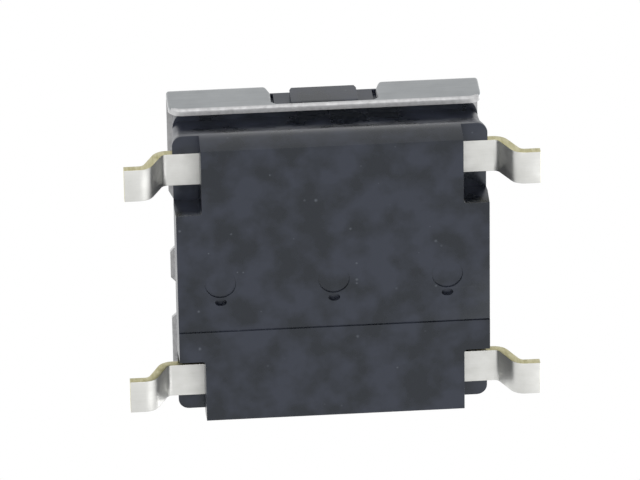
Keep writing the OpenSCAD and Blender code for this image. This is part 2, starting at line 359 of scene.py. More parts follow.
class Effects:
    """Node groups that several finishes share, each built once."""

    def __init__(self) -> None:
        """Build every shared effect."""
        self.mottle = self._mottle()
        self.specks = self._specks()
        self.streaks = self._streaks()

    @staticmethod
    def _start(name: str, numbers: dict[str, float], outputs: tuple[str, ...]) -> tuple[NodeSheet, dict]:
        """Start a group with a vector input, number inputs and number outputs.

        Args:
            name: Name of the group.
            numbers: Default of each number input.
            outputs: Names of the number outputs.

        Returns:
            The group's node sheet and its input sockets by name.
        """
        tree = bpy.data.node_groups.new(name, "ShaderNodeTree")
        tree.interface.new_socket("Place", in_out="INPUT", socket_type="NodeSocketVector")
        for label, value in numbers.items():
            number = tree.interface.new_socket(label, in_out="INPUT", socket_type="NodeSocketFloat")
            number.default_value = value
        for label in outputs:
            tree.interface.new_socket(label, in_out="OUTPUT", socket_type="NodeSocketFloat")
        sheet = NodeSheet(tree)
        entry = sheet.add("NodeGroupInput")
        return sheet, {socket.name: socket for socket in entry.outputs}

    def _mottle(self) -> bpy.types.NodeTree:
        """Soft cloudy variation of a moulded or plated surface, over a coarse and a fine size.

        Returns:
            The node group.
        """
        sheet, entry = self._start("Mottle", {"Scale": 2000.0, "Contrast": 0.2}, ("Clouds", "Grain"))
        coarse = sheet.add("ShaderNodeTexNoise", {
            "Vector": entry["Place"], "Scale": entry["Scale"], "Detail": 3.0, "Roughness": 0.5})
        fine = sheet.add("ShaderNodeTexNoise", {
            "Vector": entry["Place"], "Scale": sheet.math("MULTIPLY", entry["Scale"], FINER), "Detail": 3.0})
        sheet.add("NodeGroupOutput", {
            "Clouds": sheet.spread(coarse.outputs["Fac"], entry["Contrast"]), "Grain": fine.outputs["Fac"]})
        return sheet.tree

    def _specks(self) -> bpy.types.NodeTree:
        """Scattered small specks of uneven size, as a mask.

        Returns:
            The node group.
        """
        sheet, entry = self._start("Specks", {"Scale": 4000.0, "Share": 0.2, "Size": 0.25}, ("Mask",))
        cells = sheet.add("ShaderNodeTexVoronoi", {"Vector": entry["Place"], "Scale": entry["Scale"]})
        split = sheet.add("ShaderNodeSeparateColor", {"Color": cells.outputs["Color"]})
        chosen = sheet.math("LESS_THAN", split.outputs[0], entry["Share"])
        radius = sheet.math("MULTIPLY", entry["Size"], sheet.math("ADD", split.outputs[1], LEAST_SPECK))
        dot = sheet.ramp(cells.outputs["Distance"], radius, 0.0)
        sheet.add("NodeGroupOutput", {"Mask": sheet.math("MULTIPLY", dot, chosen)})
        return sheet.tree

    def _streaks(self) -> bpy.types.NodeTree:
        """Fine lines of a rolled or sheared face, along the direction that the caller stretches.

        Returns:
            The node group.
        """
        sheet, entry = self._start("Streaks", {"Scale": 1.0, "Contrast": 0.2}, ("Lines",))
        lines = sheet.add("ShaderNodeTexNoise", {
            "Vector": entry["Place"], "Scale": entry["Scale"], "Detail": 4.0, "Roughness": 0.65})
        sheet.add("NodeGroupOutput", {"Lines": sheet.spread(lines.outputs["Fac"], entry["Contrast"])})
        return sheet.tree


Colour = tuple[float, float, float]


@dataclass(frozen=True, kw_only=True)
class Finish:
    """Surface with clouds of a dark and a light colour, and a fine grain."""

    name: str
    dark: Colour
    light: Colour
    roughness: Point
    cloud_size: float
    contrast: float
    grain_height: float

    def _start(self, effects: Effects) -> tuple[
            bpy.types.Material, NodeSheet, bpy.types.NodeSocket, bpy.types.Node]:
        """Start the material.

        Args:
            effects: The shared node groups.

        Returns:
            The material, its node sheet, the place on the object and the node of the clouds.
        """
        made = bpy.data.materials.new(self.name)
        sheet = NodeSheet.of(made)
        place = sheet.add("ShaderNodeTexCoord").outputs["Object"]
        mottle = sheet.group(
            effects.mottle, {"Place": place, "Scale": 1 / self.cloud_size, "Contrast": self.contrast})
        return made, sheet, place, mottle

    def _shade(self, sheet: NodeSheet, height: Value, inputs: dict[str, Value]) -> None:
        """End the material with its grain and its shader.

        Args:
            sheet: Its node sheet.
            height: Height of the grain.
            inputs: Inputs of the shader, apart from its normal.
        """
        bump = sheet.add("ShaderNodeBump", {"Strength": 1.0, "Distance": self.grain_height, "Height": height})
        shader = sheet.add("ShaderNodeBsdfPrincipled", {**inputs, "Normal": bump.outputs["Normal"]})
        sheet.add("ShaderNodeOutputMaterial", {"Surface": shader.outputs["BSDF"]})


@dataclass(frozen=True, kw_only=True)
class PlasticFinish(Finish):
    """Moulded black thermoplastic with clouds, pale specks and a fine grain."""

    contrast: float = 0.10
    speck: Colour
    speck_share: float
    speck_size: float = 0.3
    specks_per_cloud: float = 6.0
    sheen: Colour = (1.0, 1.0, 1.0)
    specular: float = 0.5

    def material(self, effects: Effects) -> bpy.types.Material:
        """Build the finish.

        Args:
            effects: The shared node groups.

        Returns:
            The material.
        """
        made, sheet, place, mottle = self._start(effects)
        specks = sheet.group(effects.specks, {
            "Place": place, "Scale": self.specks_per_cloud / self.cloud_size, "Share": self.speck_share,
            "Size": self.speck_size})
        body = sheet.blend(mottle.outputs["Clouds"], self.dark, self.light)
        self._shade(sheet, mottle.outputs["Grain"], {
            "Base Color": sheet.blend(specks.outputs["Mask"], body, self.speck),
            "Roughness": sheet.ramp(mottle.outputs["Clouds"], 0.0, 1.0, *self.roughness), "Metallic": 0.0,
            "Specular Tint": (*self.sheen, 1.0), "Specular IOR Level": self.specular})
        return made


@dataclass(frozen=True, kw_only=True)
class MetalFinish(Finish):
    """Rolled, plated or sheared metal with clouds, and lines along one direction."""

    contrast: float = 0.2
    line_size: tuple[float, float, float]
    line_share: float

    def material(self, effects: Effects) -> bpy.types.Material:
        """Build the finish.

        Args:
            effects: The shared node groups.

        Returns:
            The material.
        """
        made, sheet, place, mottle = self._start(effects)
        drawn = sheet.add("ShaderNodeMapping", {
            "Vector": place, "Scale": tuple(1 / size for size in self.line_size)}).outputs["Vector"]
        lines = sheet.group(
            effects.streaks, {"Place": drawn, "Scale": 1.0, "Contrast": self.contrast}).outputs["Lines"]
        mixed = sheet.add("ShaderNodeMix", {
            0: self.line_share, 2: mottle.outputs["Clouds"], 3: lines}, data_type="FLOAT").outputs[0]
        self._shade(sheet, sheet.math("ADD", mottle.outputs["Grain"], lines), {
            "Base Color": sheet.blend(mixed, self.dark, self.light), "Metallic": 1.0,
            "Roughness": sheet.ramp(mixed, 0.0, 1.0, *self.roughness[::-1])})
        return made


BASE_PLASTIC = PlasticFinish(
    name="base_plastic", dark=(0.001, 0.002, 0.005), light=(0.018, 0.021, 0.034), speck=(0.10, 0.11, 0.13),
    roughness=(0.26, 0.34), cloud_size=0.65 * MM, speck_share=0.035, grain_height=0.0012 * MM,
    sheen=(0.86, 0.92, 1.0), specular=0.58)
PLUNGER_PLASTIC = PlasticFinish(
    name="plunger_plastic", dark=(0.012, 0.012, 0.013), light=(0.02, 0.02, 0.021), speck=(0.04, 0.04, 0.042),
    roughness=(0.5, 0.62), cloud_size=0.25 * MM, speck_share=0.08, grain_height=0.0016 * MM)
COVER_STEEL = MetalFinish(
    name="cover_steel", dark=(0.285, 0.298, 0.308), light=(0.335, 0.350, 0.360), roughness=(0.30, 0.42),
    cloud_size=0.45 * MM, line_size=(0.9 * MM, 0.035 * MM, 0.035 * MM), line_share=0.5,
    grain_height=0.0006 * MM)
# Lighter steel of the sheared edges, also used as a painted highlight along the cover's lowest rims and as
# painted light on its inner face
COVER_EDGE_AND_HIGHLIGHT = MetalFinish(
    name="cover_steel_edge_and_highlight", dark=(0.50, 0.50, 0.505), light=(0.66, 0.66, 0.665), roughness=(0.58, 0.70),
    cloud_size=0.10 * MM, line_size=(0.35 * MM, 0.1 * MM, 0.1 * MM), line_share=0.3, grain_height=0.0010 * MM)
LEAD_PLATING = MetalFinish(
    name="terminal_plating", dark=(0.60, 0.60, 0.575), light=(0.67, 0.67, 0.65), roughness=(0.34, 0.48),
    cloud_size=0.22 * MM, line_size=(0.5 * MM, 0.04 * MM, 0.5 * MM), line_share=0.35,
    grain_height=0.0008 * MM)
LEAD_EDGE = MetalFinish(
    name="terminal_brass_edge", dark=(0.37, 0.34, 0.17), light=(0.60, 0.57, 0.38), roughness=(0.3, 0.45),
    cloud_size=0.15 * MM, line_size=(0.06 * MM, 0.3 * MM, 0.5 * MM), line_share=0.6, grain_height=0.0012 * MM)
DISC_STEEL = MetalFinish(
    name="disc_steel", dark=(0.6, 0.59, 0.54), light=(0.68, 0.67, 0.62), roughness=(0.2, 0.3),
    cloud_size=0.4 * MM, line_size=(0.8 * MM, 0.04 * MM, 0.04 * MM), line_share=0.5, grain_height=0.0005 * MM)


@dataclass
class Base:
    """Moulded base: a block with notched corners, a hooked rim on each end and stepped bores."""

    datum: Datum
    ledge_in: float = 0.03
    widest_z: float = 0.62
    crease: float = 0.18
    crease_steps: int = 6
    ceiling_z: float = 0.80
    back_ledge_z: float = 0.74
    lead_end: float = 2.58
    upright_z: float = 1.44
    low_end: float = 2.857
    low_side: float = 2.985
    wall_y: float = 2.70
    top_side: float = 2.89
    corner_r: float = 0.20
    notch_x: float = 2.49
    notch_y: float = 1.525
    back_shift: float = 0.06
    notch_r: float = 0.06
    notch_steps: int = 4
    step_y: float = 0.96
    step_h: float = 0.03
    rim_y: float = 2.85
    pocket_in: float = 0.9525
    pocket_out: float = 1.0425
    pocket_z: Point = (1.90, 2.53)
    pocket_d: float = 0.08
    hook_half: float = 0.64
    hook_z: float = 1.81
    hook_y: float = 2.99
    hook_bevel: float = 0.09
    slant_w: float = 0.07
    slant_h: float = 0.19
    edge_r: float = 0.022
    edge_steps: int = 3
    sharp_edge: float = 50.0
    mark_pitch: float = 2.17
    mark_y: float = -0.06
    mark_r: float = 0.30
    mark_depth: float = 0.03
    nick_r: float = 0.075
    nick_wide: float = 1.5
    nick_depth: float = 0.09
    bores: tuple[Point, ...] = ((2.2, 1.30), (2.05, 0.85), (0.55, 0.80))
    bore_sides: int = 96
    work: Workpiece = field(init=False)

    def __post_init__(self) -> None:
        """Start the mesh, and set how far the ends and sides lie out at each height."""
        d = self.datum
        self.work = Workpiece("moulded_base")
        self.ends = [(d.base_z, self.low_end), *self._soft_crease(), (self.upright_z, self.wall_y),
                     (self.hook_z, self.wall_y)]
        self.sides = [(d.base_z, self.low_side), (self.widest_z, d.half_w), (d.base_top, self.top_side)]

    def _soft_crease(self) -> list[Point]:
        """Shape the round between the lower and the upper slope of an end wall, as a parabola.

        Returns:
            Its stations.
        """
        widest = self.datum.half_l - self.ledge_in
        below = (widest - self.low_end) / (self.widest_z - self.datum.base_z)
        above = (self.wall_y - widest) / (self.upright_z - self.widest_z)
        stations = []
        for step in range(self.crease_steps + 1):
            up = 2 * self.crease * step / self.crease_steps
            reach = widest - below * (self.crease - up) + (above - below) * up ** 2 / (4 * self.crease)
            stations.append((self.widest_z - self.crease + up, reach))
        return stations

    def build(self, plastic: bpy.types.Material) -> bpy.types.Object:
        """Shape the base and dress it.

        Args:
            plastic: Its only material.

        Returns:
            The finished object.
        """
        self._underside(self._ceiling_plan())
        self._walls()
        for sign in (-1, 1):
            self._hooked_rim(sign)
        self._round_edges()
        self._marks()
        self._bores()
        return self.work.finish("base", "housing", "base_plastic", [plastic])

    def _ceiling_plan(self) -> BMFace:
        """Lay out the level of the notches' ceilings, with a cross between them.

        Returns:
            The cross.
        """
        side, end = stretch(self.ceiling_z, self.sides), stretch(self.ceiling_z, self.ends)
        r = self.notch_r
        fillet = arc((self.notch_x + r, self.notch_y + r), r, 270, 180, self.notch_steps)
        corner = arc((side - self.corner_r, end - self.corner_r), self.corner_r, 90, 0)
        self.work.face(
            [(0, 0), (side, 0), (side, self.notch_y), *fillet, (self.notch_x, self.lead_end),
             (self.notch_x, end), (self.pocket_out, end), (self.pocket_in, end), (self.hook_half, end),
             (0, end)], self.ceiling_z)
        self.work.face([*fillet[::-1], (side, self.notch_y), (side, self.lead_end),
                        (self.notch_x, self.lead_end)], self.ceiling_z)
        self.work.face([(self.notch_x, self.lead_end), (side, self.lead_end), *corner[::-1],
                        (self.notch_x, end)], self.ceiling_z)
        bm = self.work.bm
        for axis in ("X", "Y"):
            bmesh.ops.mirror(bm, geom=bm.verts[:] + bm.edges[:] + bm.faces[:], axis=axis, merge_dist=NEAR)
        bmesh.ops.remove_doubles(bm, verts=bm.verts[:], dist=NEAR)
        for vert in bm.verts:
            if self.notch_y - NEAR < vert.co.y < self.notch_y + self.notch_r + NEAR:
                vert.co.y += self.back_shift
        inner = self.work.edges(lambda e: all(abs(v.co.x) < NEAR for v in e.verts)
                                or all(abs(v.co.y) < NEAR for v in e.verts))
        bmesh.ops.dissolve_edges(bm, edges=inner, use_verts=True)
        return max(bm.faces, key=lambda f: f.calc_area())

    def _lower(self, faces: list[BMFace], z: float) -> list[BMFace]:
        """Extrude faces down to a height, and move their outer points to where ends and sides lie there.

        Args:
            faces: Faces at one height.
            z: Height of the new faces.

        Returns:
            The new faces.
        """
        start = faces[0].verts[0].co.z
        across, along = (stretch(z, sizes) / stretch(start, sizes) for sizes in (self.sides, self.ends))
        lowered = self.work.extrude(faces, (0, 0, z - start))
        for vert in {v for f in lowered for v in f.verts}:
            if abs(vert.co.x) > self.notch_x + self.notch_r + NEAR:
                vert.co.x *= across
            if abs(vert.co.y) > self.lead_end + NEAR:
                vert.co.y *= along
        return lowered

    def _underside(self, cross: BMFace) -> None:
        """Extrude the cross and the ledges beyond the leads down, and the cross on to the underside's step.

        Args:
            cross: Face at the level of the notches' ceilings.
        """
        levels = [z for z, _ in self._soft_crease()[::-1] if z < self.ceiling_z - NEAR]
        faces = [cross, *(f for f in self.work.bm.faces if abs(f.calc_center_median().y) > self.lead_end)]
        for z in levels:
            faces = self._lower(faces, z)
            if abs(z - self.back_ledge_z) < NEAR:
                faces = [f for f in faces if f.calc_center_median().y < self.lead_end]
            if abs(z - self.widest_z) < NEAR:
                faces = [max(faces, key=lambda f: f.calc_area())]
        high = self.datum.base_z + self.step_h
        self.work.cut(self._lower(faces, high), Vector((0, self.step_y, high)), Vector((0, 1, 0)))
        back = self.work.faces(lambda c, n: abs(c.z - high) < NEAR and c.y > self.step_y)
        self._lower(back, self.datum.base_z)

    def _walls(self) -> None:
        """Raise the walls from the notches' ceilings to the top, with a step out to the rims on the ends."""
        rim = self.work.edges(lambda e: e.is_boundary)
        z, end = self.ceiling_z, stretch(self.ceiling_z, self.ends)
        for level in (self.upright_z, self.hook_z):
            reach = stretch(level, self.ends)
            rim = self._raise(rim, z, level, reach / end)
            z, end = level, reach
        rim = self._step_out(rim)
        top = self.datum.base_top
        for level in (self.pocket_z[0], top - self.slant_h, top - self.hook_bevel, self.pocket_z[1], top):
            rim = self._raise(rim, z, level, 1.0)
            z = level

    def _raise(self, rim: list[BMEdge], low: float, high: float, along: float) -> list[BMEdge]:
        """Raise the walls' rim from one height to another, and lean the sides.

        Args:
            rim: The rim.
            low: Its height.
            high: Height of the new rim.
            along: Factor on the new rim's Y.

        Returns:
            The new rim.
        """
        across = stretch(high, self.sides) / stretch(low, self.sides)
        raised = self.work.raise_rim(rim, high - low, along)
        for vert in {v for e in raised for v in e.verts}:
            if abs(vert.co.x) > self.notch_x + self.notch_r + NEAR:
                vert.co.x *= across
        return raised

    def _step_out(self, rim: list[BMEdge]) -> list[BMEdge]:
        """Widen the walls at the ends to the rims behind the windows, and leave the sides as they are.

        Args:
            rim: The walls' rim at the height of the step.

        Returns:
            The rim after the step.
        """
        bm = self.work.bm
        straight = self.wall_y * (1 - self.corner_r / stretch(self.ceiling_z, self.ends))
        factor = (self.rim_y - straight) / (self.wall_y - straight)
        for vert in {v for e in self.work.raise_rim(rim, 0.0) for v in e.verts}:
            past = max(abs(vert.co.y) - straight, 0.0)
            vert.co.y += math.copysign(past * (factor - 1), vert.co.y)
        stepped = [v for v in bm.verts if v.co.z > self.hook_z - NEAR]
        bmesh.ops.remove_doubles(bm, verts=stepped, dist=NEAR / 4)
        return self.work.edges(lambda e: e.is_boundary)

    def _hooked_rim(self, sign: int) -> None:
        """Push a hook with slanted corners out of the rim, and sink the pockets beside it.

        Args:
            sign: Sign of Y at that end.
        """
        slant_z, bevel_z = self.datum.base_top - self.slant_h, self.datum.base_top - self.hook_bevel
        rim = self.work.faces(lambda c, n: abs(c.y - sign * self.rim_y) < NEAR and c.z > self.hook_z + NEAR)
        centres = {f: f.calc_center_median() for f in rim}
        for side in (-1, 1):
            pocket = [f for f, c in centres.items() if self.pocket_in < c.x * side < self.pocket_out
                      and self.pocket_z[0] < c.z < self.pocket_z[1]]
            self.work.extrude(pocket, (0, -sign * self.pocket_d, 0))
        hook = [f for f, c in centres.items() if abs(c.x) < self.hook_half]
        hook = self.work.extrude(hook, (0, sign * (self.hook_y - self.rim_y), 0))
        ends = [v for v in self.work.bm.verts if v.co.y * sign > self.rim_y - NEAR
                and abs(abs(v.co.x) - self.hook_half) < NEAR]
        for vert in ends:
            slant = self.slant_w * max(vert.co.z - slant_z, 0.0) / self.slant_h
            vert.co.x -= math.copysign(slant, vert.co.x)
        for vert in {v for f in hook for v in f.verts}:
            vert.co.y -= sign * max(vert.co.z - bevel_z, 0.0)

    def _round_edges(self) -> None:
        """Round the sharp outer edges of the moulding."""
        bmesh.ops.recalc_face_normals(self.work.bm, faces=self.work.bm.faces[:])
        sharp, top = math.radians(self.sharp_edge), self.datum.base_top - NEAR
        edges = self.work.edges(lambda e: len(e.link_faces) == 2 and e.calc_face_angle_signed() > sharp
                                and not all(v.co.z > top for v in e.verts))
        self.work.bevel(edges, self.edge_r, self.edge_steps)
        bmesh.ops.dissolve_degenerate(self.work.bm, dist=NEAR / 20, edges=self.work.bm.edges[:])

    def _marks(self) -> None:
        """Sink the three round ejector marks, each with a nick at its rim, into the underside."""
        high = self.datum.base_z + self.step_h
        nick_y = self.mark_y + self.mark_r + self.edge_r + self.nick_r
        across = [(x, 0) for x in (-self.mark_pitch / 2, self.mark_pitch / 2)]
        along = [(0, self.mark_y + self.mark_r + self.edge_r / 2), (0, self.mark_y - 2 * self.mark_r)]
        for place, normal in [(p, (1, 0)) for p in across] + [(p, (0, 1)) for p in along]:
            self.work.cut(self._flat(high), Vector((*place, high)), Vector((*normal, 0)))
        rounds = [((i * self.mark_pitch, y), *sizes) for i in (-1, 0, 1) for y, *sizes in (
            (self.mark_y, self.mark_r, self.mark_depth, 1.0),
            (nick_y, self.nick_r, self.nick_depth, self.nick_wide))]
        cells = [self._flat(high, centre)[0] for centre, *_ in rounds]
        for cell, (centre, radius, depth, wide) in zip(cells, rounds):
            sunk = self.work.disc(cell, centre, radius, wide=wide)
            self.work.inset(self.work.extrude([sunk], (0, 0, depth))[0], depth / 2)

    def _flat(self, z: float, place: Point | None = None) -> list[BMFace]:
        """Faces of the underside at height z, or the one round a place."""
        flat = self.work.faces(lambda c, n: abs(c.z - z) < NEAR and abs(n.z) > LEVEL)
        return [f for f in flat if place is None or all(
            min(v.co[i] for v in f.verts) < place[i] < max(v.co[i] for v in f.verts) for i in (0, 1))]

    def _bores(self) -> None:
        """Close the top and sink the bores for the collar, the disc and the dimple."""
        top = self.datum.base_top
        rim = self.work.edges(lambda e: e.is_boundary and e.verts[0].co.z > top - NEAR)
        floor = bmesh.ops.contextual_create(self.work.bm, geom=rim)["faces"][0]
        floor.normal_update()
        radius = self.bores[0][0]
        floor = self.work.disc(floor, (0, 0), radius, self.bore_sides)
        z = top
        for bore_r, bore_z in self.bores:
            if bore_r < radius:
                floor = self.work.inset(floor, radius - bore_r)
            floor = self.work.extrude([floor], (0, 0, bore_z - z))[0]
            radius, z = bore_r, bore_z


@dataclass
class Cover:
    """Stamped cover, cut as a flat blank and then folded over the base."""

    datum: Datum
    fold_r: float = 0.20
    fold_steps: int = 10
    flange_r: float = 0.25
    window_half: float = 1.02
    window_strip: float = 0.12
    window_reach: float = 0.32
    window_bevel: float = 0.10
    window_flare: float = 0.09
    flare_drop: float = 0.38
    hole_r: float = 1.83
    hole_sides: int = 128
    edge_notch: float = 0.20
    edge_slant: float = 0.12
    die_roll: float = 0.055
    roll_steps: int = 4
    notches: tuple[tuple[float, ...], ...] = (
        (-0.87, -0.64, 0.32, 0.45), (1.0, 1.13, 1.79, 1.89))

    @property
    def flat(self) -> float:
        """Half length of the flat top, up to the fold."""
        return self.datum.half_l - self.fold_r

    def unroll(self, z: float) -> float:
        """Distance on the outer face from the middle to height z of a flange."""
        return self.flat + self.fold_r * math.pi / 2 + self.datum.top_z - self.fold_r - z

    def fold(self, x: float, s: float, depth: float) -> Vector:
        """Place on the folded cover of a point of the blank.

        Args:
            x: Place along the fold.
            s: Place across the fold.
            depth: How far the point lies under the outer face.

        Returns:
            The place in the switch.
        """
        turn = min(max((abs(s) - self.flat) / self.fold_r, 0.0), math.pi / 2)
        down = max(abs(s) - self.flat - self.fold_r * math.pi / 2, 0.0)
        r = self.fold_r - depth
        y = min(abs(s), self.flat) + r * math.sin(turn)
        z = self.datum.top_z - self.fold_r + r * math.cos(turn) - down
        return Vector((x, math.copysign(y, s), z))

    def build(self, steel: bpy.types.Material, edge: bpy.types.Material) -> bpy.types.Object:
        """Cut, punch and fold the cover and dress it.

        Args:
            steel: Material of the sheet's outer face.
            edge: Material of the sheared edges, which also paints a highlight along the lowest rims and
                lightens the inner face's shade at the sides.

        Returns:
            The finished object.
        """
        work = Workpiece("stamped_cover")
        bm = work.bm
        for outline in (self._blank(), self._window(1), self._window(-1)):
            verts = [bm.verts.new((x, s, 0)) for x, s in outline]
            for pair in zip(verts, verts[1:] + verts[:1]):
                bm.edges.new(pair)
        bmesh.ops.create_circle(bm, segments=self.hole_sides, radius=self.hole_r)
        bmesh.ops.triangle_fill(bm, use_beauty=True, edges=bm.edges[:], normal=(0, 0, 1))
        work.extrude(bm.faces[:], (0, 0, -self.datum.sheet_t))
        bmesh.ops.recalc_face_normals(bm, faces=bm.faces[:])
        # Sheared edges and the inner face take the lighter edge steel; on the inner face it is painted light
        # that lightens the shade of the side strips
        for face in bm.faces:
            face.material_index = EDGE_INDEX * int(face.normal.z < FACING)
        self._roll_rims(bm)
        for step in range(self.fold_steps + 1):
            s = self.flat + self.fold_r * math.pi / 2 * step / self.fold_steps
            for sign in (-1, 1):
                work.cut(bm.faces[:], Vector((0, sign * s, 0)), Vector((0, 1, 0)))
        for vert in bm.verts:
            vert.co = self.fold(vert.co.x, vert.co.y, -vert.co.z)
        return work.finish("cover", "housing", "cover_steel", [steel, edge])

    def _roll_rims(self, bm: bmesh.types.BMesh) -> None:
        """Round all the rims of the outer face, as the punch draws them in, and give the lowest ones a
        painted highlight in the lighter edge steel.

        Args:
            bm: The flat blank, with its outer face at height 0.
        """
        outer = [f for f in bm.faces if all(abs(v.co.z) < NEAR for v in f.verts)]
        highlight_from = self.unroll(self.datum.flange_z + self.window_strip)
        rings = []
        for step in range(self.roll_steps):
            start, end = (math.pi / 2 * s / self.roll_steps for s in (step, step + 1))
            strip = bmesh.ops.inset_region(
                bm, faces=outer, thickness=self.die_roll * (math.cos(start) - math.cos(end)),
                use_boundary=True, use_even_offset=True)["faces"]
            ring = {v for f in strip for v in f.verts} - {v for f in outer for v in f.verts}
            rings.append((ring, self.die_roll * (1 - math.sin(start))))
            # The rolls of the lowest rims take the lighter edge steel as a painted highlight
            for face in strip:
                face.material_index = EDGE_INDEX * int(abs(face.calc_center_median().y) > highlight_from)
        for ring, depth in rings:
            for vert in ring:
                vert.co.z = -depth

    def _blank(self) -> list[Point]:
        """Lay out the blank, with round flange corners and notched side edges.

        Returns:
            Its outline.
        """
        w, s, r = self.datum.half_w, self.unroll(self.datum.flange_z), self.flange_r
        edge = []
        for a, b, c, d in self.notches:
            edge += [(w, a), (w - self.edge_slant, b), (w - self.edge_notch, b),
                     (w - self.edge_notch, c), (w - self.edge_slant, c), (w, d)]
        right = [*arc((w - r, r - s), r, 270, 360), *edge, *arc((w - r, s - r), r, 0, 90)]
        return right + [(-x, y) for x, y in reversed(right)]

    def _window(self, sign: int) -> list[Point]:
        """Outline of the window in one flange, which widens towards the fold.

        Args:
            sign: Sign of Y at that flange.

        Returns:
            The outline in the blank.
        """
        w, wide = self.window_half, self.window_half + self.window_flare
        low = self.unroll(self.datum.flange_z + self.window_strip)
        right = [(w - self.window_bevel, low), (w, low - self.window_bevel),
                 (w, self.unroll(self.datum.top_z - self.flare_drop)),
                 (wide, self.flat + self.fold_r * math.pi / 4), (wide, self.datum.half_l - self.window_reach)]
        return [(x, sign * s) for x, s in right + [(-x, s) for x, s in reversed(right)]]


@dataclass
class Terminal:
    """Plated strip in the base, with a gull-wing lead at each side and its contact parts."""

    datum: Datum
    side: Side
    lead_w: float = 0.66
    lead_t: float = 0.18
    lead_z: float = 0.62
    bend_x: float = 3.11
    bend_r: float = 0.12
    bend_angle: float = 65.0
    band_in: float = 2.13
    neck_x: float = 2.29
    reach: float = 0.45
    end_bevel: float = 0.12
    tongue_half: float = 0.45
    arm_x: float = 1.90
    arm_half: float = 0.25
    pad_half: float = 0.35
    pad_h: float = 0.05
    dimple_r: float = 0.30
    dimple_sides: int = 32
    dimple_h: float = 0.12
    dimple_taper: float = 0.5
    bend_steps: int = 8
    burr: float = 0.014

    def build(self, plating: bpy.types.Material, brass: bpy.types.Material) -> bpy.types.Object:
        """Stamp and bend the strip and dress it.

        Args:
            plating: Material of the strip's faces.
            brass: Material of the sheared edges.

        Returns:
            The finished object.
        """
        node = f"terminal_{self.side.name.lower()}"
        work = Workpiece(f"{node}_strip")
        bm = work.bm
        work.face(self._plan(), self.lead_z)
        if self.side is Side.BACK:
            for y in (-self.pad_half, self.pad_half):
                work.cut(bm.faces[:], Vector((0, y, 0)), Vector((0, 1, 0)))
        work.extrude(bm.faces[:], (0, 0, self.lead_t))
        bmesh.ops.recalc_face_normals(bm, faces=bm.faces[:])
        self._contacts(work)
        for sign in (-1, 1):
            self._gull_wing(work, sign)
        bmesh.ops.recalc_face_normals(bm, faces=bm.faces[:])
        for face in bm.faces:
            face.material_index = EDGE_INDEX * int(abs(face.normal.y) > FACING or self._is_tip(face))
        rims = work.edges(lambda e: len({f.material_index for f in e.link_faces}) == 2
                          and abs(e.verts[0].co.x) > self.neck_x and abs(e.verts[1].co.x) > self.neck_x)
        work.bevel(rims, self.burr)
        return work.finish(node, "housing", "terminal_plating", [plating, brass])

    def _is_tip(self, face: BMFace) -> bool:
        """True for the cut end of a lead."""
        return all(abs(v.co.x) > self.datum.tip_x - NEAR for v in face.verts)

    def _plan(self) -> list[Point]:
        """Lay out the strip before its leads are bent, seen from above.

        Returns:
            Its outline.
        """
        outer, inner = self.datum.lead_y, self.datum.lead_y - self.lead_w
        slope = self.neck_x + self.band_in - inner
        right = [(slope, inner), (self.bend_x, inner), (self.bend_x, outer)]
        if self.side is Side.FRONT:
            fingers = self._finger(0, self.tongue_half)
        else:
            fingers = self._finger(-self.arm_x, self.arm_half) + self._finger(self.arm_x, self.arm_half)
        points = [(-self.bend_x, outer), (-self.bend_x, inner), (-slope, inner), (-self.neck_x, self.band_in),
                  *fingers, (self.neck_x, self.band_in), *right]
        sign = self.side.value
        return [(sign * x, sign * y) for x, y in points]

    def _finger(self, x: float, half: float) -> list[Point]:
        """Outline of a finger from the band past the middle, with chamfered corners."""
        tip, bevel = -self.reach, self.end_bevel
        return [(x - half, self.band_in), (x - half, tip + bevel), (x - half + bevel, tip),
                (x + half - bevel, tip), (x + half, tip + bevel), (x + half, self.band_in)]

    def _contacts(self, work: Workpiece) -> None:
        """Raise the dimple on the tongue, or the pads under the rim of the disc on the arms.

        Args:
            work: The flat strip.
        """
        top = self.lead_z + self.lead_t
        if self.side is Side.FRONT:
            upper = work.faces(lambda c, n: n.z > FACING and abs(c.z - top) < NEAR)[0]
            foot = work.disc(upper, (0, 0), self.dimple_r, self.dimple_sides)
            dimple = work.extrude([foot], (0, 0, self.dimple_h))
            bmesh.ops.scale(work.bm, vec=(self.dimple_taper, self.dimple_taper, 1), verts=dimple[0].verts[:])
            return
        pads = work.faces(lambda c, n: n.z > FACING and abs(c.y) < NEAR)
        for pad in pads:
            work.extrude([pad], (0, 0, self.pad_h))

    def _gull_wing(self, work: Workpiece, sign: int) -> None:
        """Bend the lead down, out and flat again, from the strip's end face.

        Args:
            work: The strip.
            sign: Sign of X on the lead's side.
        """
        middle = self.bend_r + self.lead_t / 2
        turn = math.radians(self.bend_angle)
        slope = (self.lead_z - 2 * middle * (1 - math.cos(turn))) / math.sin(turn)
        ahead = Vector((sign * math.cos(turn), 0, -math.sin(turn)))
        end = work.faces(lambda c, n: n.x * sign > FACING and c.x * sign > self.bend_x - NEAR)
        upper = Vector((sign * self.bend_x, 0, self.lead_z - self.bend_r))
        foot_x = self.bend_x + 2 * middle * math.sin(turn) + slope * math.cos(turn)
        lower = Vector((sign * foot_x, 0, self.lead_t + self.bend_r))
        end = self._bend(work, end, upper, sign * turn)
        end = work.extrude(end, tuple(ahead * slope))
        end = self._bend(work, end, lower, -sign * turn)
        work.extrude(end, (sign * (self.datum.tip_x - foot_x), 0, 0))

    def _bend(self, work: Workpiece, end: list[BMFace], centre: Vector, turn: float) -> list[BMFace]:
        """Spin the end face of a lead about an axis along Y.

        Args:
            work: The strip.
            end: The end face.
            centre: Point on the axis.
            turn: Angle of the bend.

        Returns:
            The end face after the bend.
        """
        geom = [*end, *end[0].edges, *end[0].verts]
        made = bmesh.ops.spin(
            work.bm, geom=geom, cent=centre, axis=(0, 1, 0), angle=turn, steps=self.bend_steps)
        return [g for g in made["geom_last"] if isinstance(g, BMFace)]


